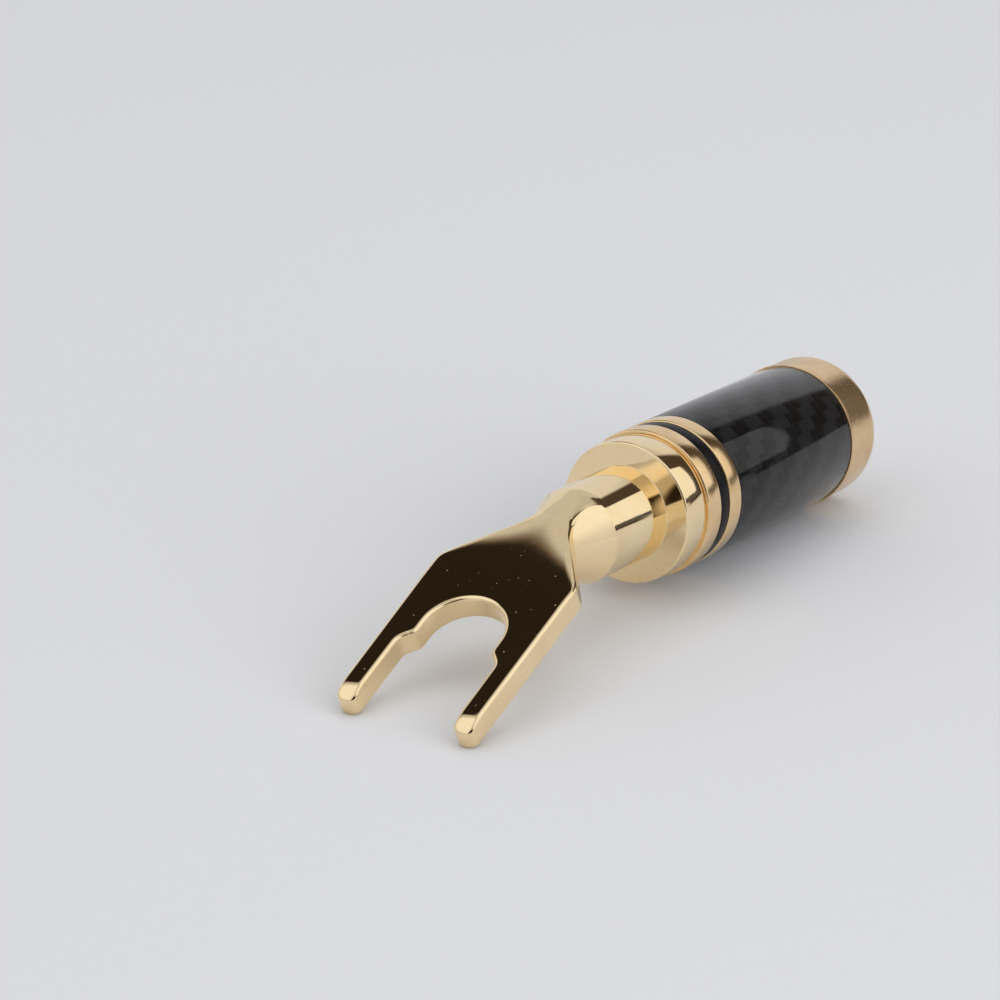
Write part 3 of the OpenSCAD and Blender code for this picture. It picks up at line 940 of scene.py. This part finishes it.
# On the camera's side: a pale wall, a white glow high over it, and a dark screen behind the cable
light = panel(light, 0.74, turns=(-124, -42), heights=(-90, 76), soft=3)
light = panel(light, 1.05, turns=(-140, -20), heights=(22, 96), soft=20)
light = panel(light, 0.07, turns=(-42, -0.5), heights=(-2, 64), soft=3)

# Before the fork's tips: a white screen, and the dark round the camera
light = panel(light, 0.98, turns=(112, 180), heights=(12, 70), soft=6)
light = panel(light, 0.02, turns=(-168, -125), heights=(-4, 34), soft=2.5)

# Dark patches are warmer than bright ones, and the camera sees an even pale tone instead of them all
warmth = sky.tint(sky.ramp(light, low=0.0, high=0.45), (1.0, 0.72, 0.5), (0.985, 0.99, 1.02))
studio = sky.add("ShaderNodeBackground", {"Color": warmth, "Strength": light})[0]
plain = sky.add("ShaderNodeBackground", {"Color": (0.694, 0.703, 0.716, 1), "Strength": 1.0})[0]
seen = sky.add("ShaderNodeLightPath", {})["Is Camera Ray"]
both = sky.add("ShaderNodeMixShader", {0: seen, 1: studio, 2: plain})[0]
sky.add("ShaderNodeOutputWorld", {"Surface": both})

# A card stands upright beside the plug, past the cable's end. It is no lamp, and its glow is painted light
# standing in for a lit white card. The rod and the rings mirror it. Inside ragged lower and left edges it
# glows white, and outside them it glows dark grey.
card_left = -0.12
card_right = -0.045
card_lean = 0.12
card_low = 0.016
card_high = 0.13
card_y = 0.07
low_rag = 0.012
low_white = card_low + 0.014
low_soft = 0.0015
left_rag = 0.03
left_slant = 0.935
left_white = -0.081
left_soft = 0.005
white_light = 0.88
grey_light = 0.1
work = bmesh.new()
work.faces.new([work.verts.new(p) for p in (
    (card_left, card_y, card_low), (card_right, card_y, card_low), (card_right, card_y, card_high),
    (card_left - card_lean, card_y, card_high))])
card = add_object("glowing_card", mesh_from("glowing_card", work))
card.visible_shadow = False
card.visible_diffuse = False
card.visible_camera = False
card_glow, nodes, shader = new_finish("card_glow")
place = nodes.place()
spot = nodes.parts(place)
ragged = nodes.noise(place, scale=420.0, detail=4.0, roughness=0.8)
low_edge = nodes.maths("MULTIPLY_ADD", ragged, low_rag, spot[2])
above = nodes.ramp(low_edge, low_white, low_white + low_soft)
slant = nodes.maths("MULTIPLY_ADD", spot[2], left_slant, spot[0])
left_edge = nodes.maths("MULTIPLY_ADD", ragged, left_rag, slant)
beside = nodes.ramp(left_edge, left_white, left_white + left_soft)
white = nodes.maths("MULTIPLY", above, beside)
# Painted light: the card's glow, white inside its ragged edges and dark grey outside them, in place of light
# falling on it
nodes.join(nodes.maths("MULTIPLY_ADD", white, white_light, grey_light), shader["Emission Strength"])
shader["Base Color"].default_value = (0, 0, 0, 1)
shader["Specular IOR Level"].default_value = 0.0
shader["Emission Color"].default_value = (1.0, 0.99, 0.97, 1)
card.data.materials.append(card_glow)


# Two wide soft lamps light the table and the plug, one overhead and one low on the camera's right.
# The gold doesn't mirror them.
def soft_lamp(name, place, wide, deep, power):
    """A rectangular lamp, in metres and watts, that faces the plug"""
    light = bpy.data.lights.new(name, "AREA")
    light.shape = "RECTANGLE"
    light.size = wide
    light.size_y = deep
    light.energy = power
    lamp = add_object(name, light)
    lamp.location = place
    lamp.rotation_euler = (-Vector(place)).to_track_quat("-Z", "Y").to_euler()
    lamp.visible_glossy = False
    lamp.visible_camera = False


soft_lamp("overhead", place=(-0.15, -0.1, 0.8), wide=0.9, deep=0.7, power=1.4)
soft_lamp("fill", place=(0.2, 0.65, 0.3), wide=0.9, deep=0.5, power=2.2)

# The camera stands in front of the fork and to its left, and looks down on the plug through a long
# lens. Colours come out about as they are written.
camera_data = bpy.data.cameras.new("camera")
camera_data.sensor_width = 36.0
camera_data.lens = 143.376
camera_data.clip_start = 0.01
camera = add_object("camera", camera_data)
camera.location = (0.298572, 0.182286, 0.144411)
camera.rotation_euler = Euler((radians(68.9933), radians(-0.5186), radians(123.5562)), "XYZ")
bpy.context.scene.camera = camera
bpy.context.scene.view_settings.view_transform = "Standard"
